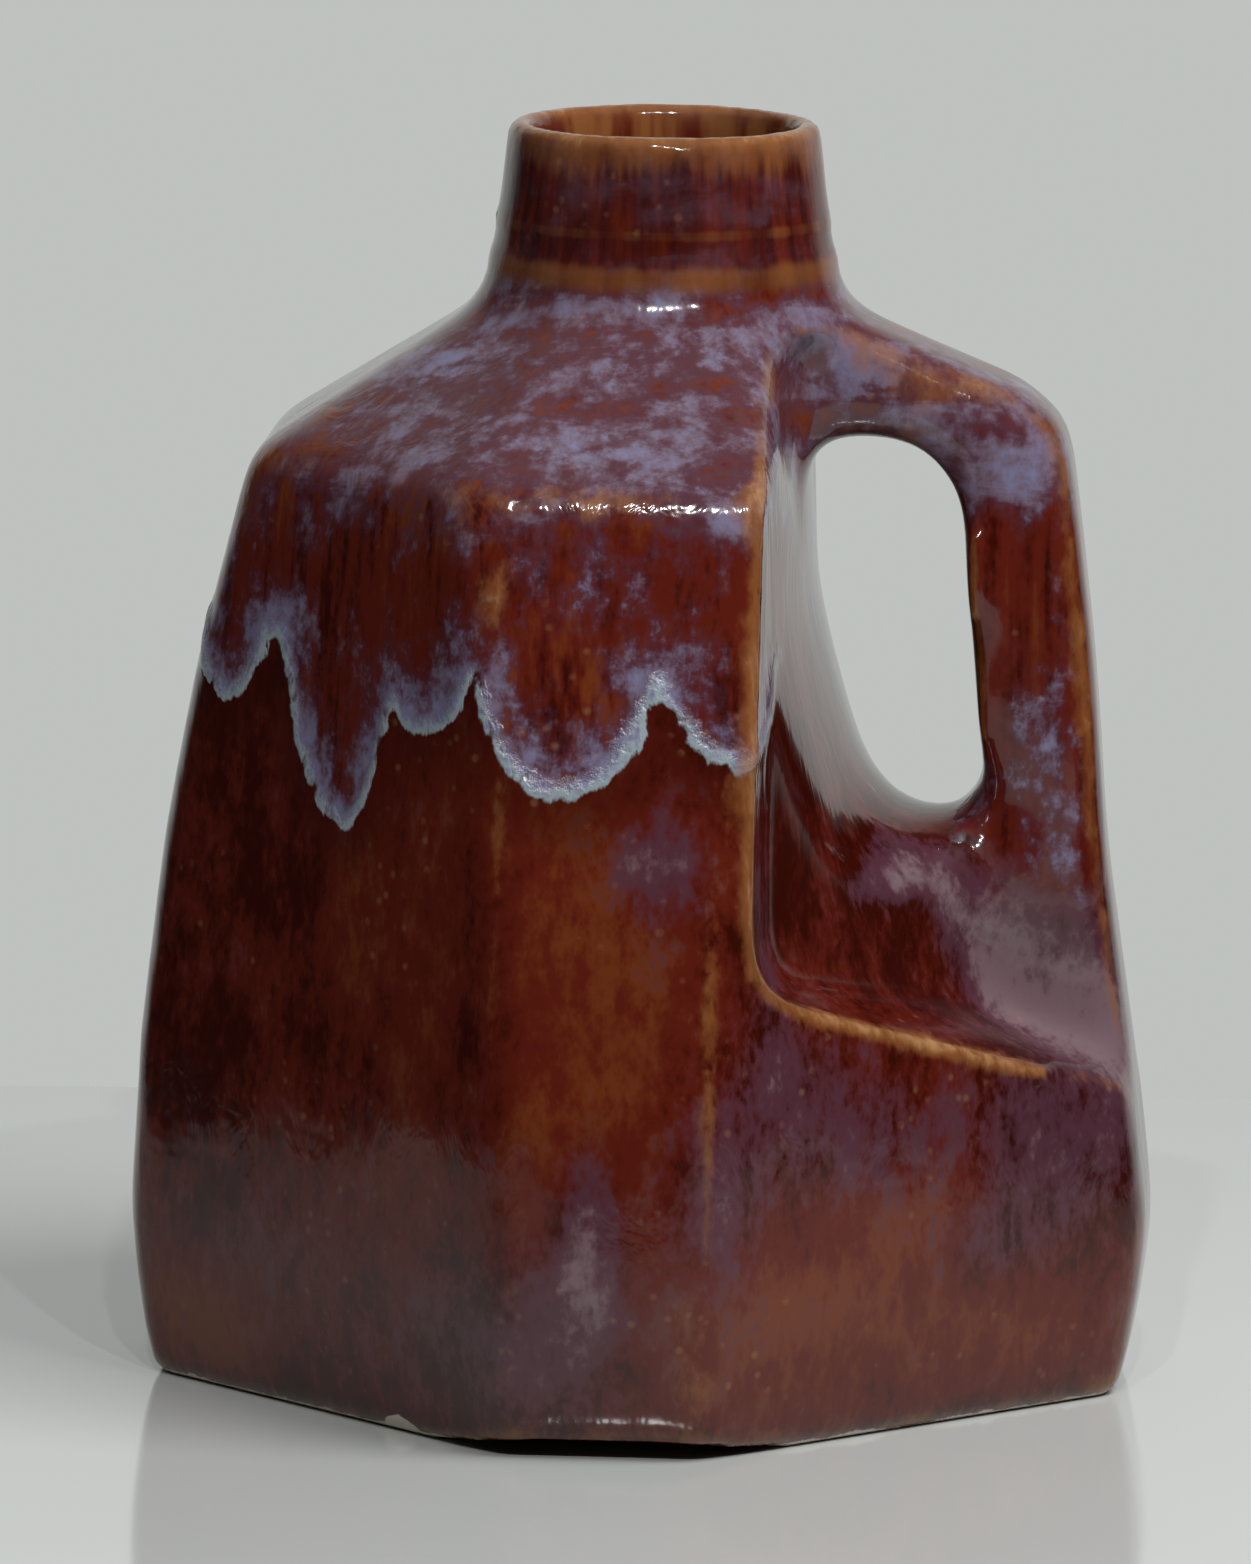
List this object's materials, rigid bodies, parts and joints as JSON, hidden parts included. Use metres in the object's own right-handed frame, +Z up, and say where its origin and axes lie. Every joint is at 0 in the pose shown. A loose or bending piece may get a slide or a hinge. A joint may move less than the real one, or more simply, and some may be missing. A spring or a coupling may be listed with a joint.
{
  "type": "porcelain jug",
  "caption": "Slip-cast porcelain jug of chamfered square form, with a sloping shoulder, a ringed open neck, a cast-in finger handle and flowing amber and plum glaze.",
  "frame": {"origin": "centre of the underside, on the plane the jug stands on", "axes": "+Z up, +X towards the handle; the XZ plane is the plane of symmetry"},
  "size_m": [0.128, 0.128, 0.158],
  "materials": {
    "glaze": "glossy"
  },
  "bodies": {
    "root": {"jug": "glaze"}
  },
  "joints": []
}
